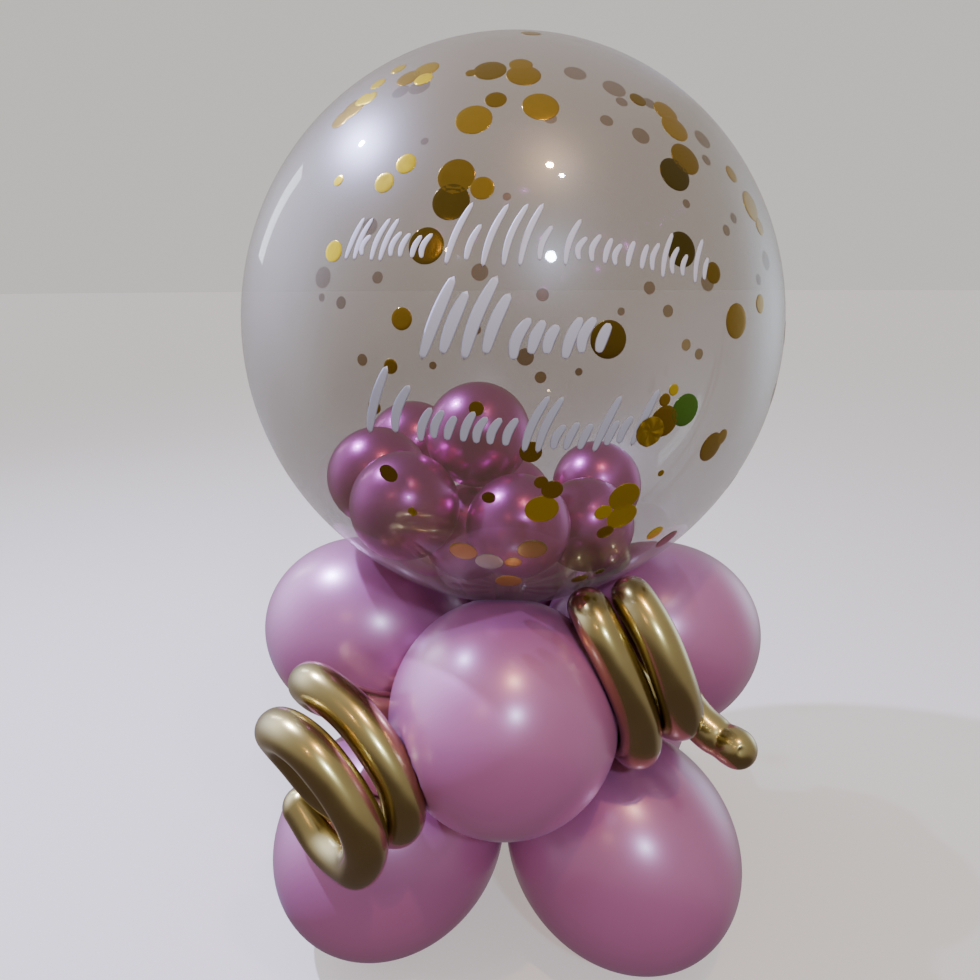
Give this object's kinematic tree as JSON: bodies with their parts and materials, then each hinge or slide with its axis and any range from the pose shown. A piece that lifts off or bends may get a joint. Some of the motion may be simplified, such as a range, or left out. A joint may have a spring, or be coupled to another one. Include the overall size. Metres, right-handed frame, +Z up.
{
  "type": "bubble balloon centrepiece",
  "caption": "Clear bubble balloon filled with small balloons and confetti, on a two-tier base of pearl latex balloons with twisted gold modelling balloons.",
  "frame": {"origin": "on the floor, at the middle of the bounding box's footprint; the balloon stack's own axis is 8 mm behind it, at +Y", "axes": "+Z up; -Y is the front, the side that the inscription faces and both gold coils show on; +X is to the right seen from the front"},
  "size_m": [0.5798, 0.5954, 0.9155],
  "materials": {
    "clear_film": "clear stretched plastic film, slightly milky, glossy",
    "pearl_pink_latex": "pearl latex, satin with soft broad highlights",
    "chrome_gold_latex": "chrome-effect latex in old gold, smooth and bright",
    "chrome_mauve_latex": "chrome-effect latex in mauve, smooth and bright",
    "gold_foil": "thin metallised foil discs",
    "grey_vinyl": "thin satin vinyl film"
  },
  "bodies": {
    "root": {"clear_bubble": "clear_film", "upper_balloon_front": "pearl_pink_latex", "upper_balloon_right": "pearl_pink_latex", "upper_balloon_back": "pearl_pink_latex", "upper_balloon_left": "pearl_pink_latex", "lower_balloon_front_left": "pearl_pink_latex", "lower_balloon_front_right": "pearl_pink_latex", "lower_balloon_back_right": "pearl_pink_latex", "lower_balloon_back_left": "pearl_pink_latex", "gold_coil_left": "chrome_gold_latex", "gold_coil_right": "chrome_gold_latex"}
  },
  "joints": []
}
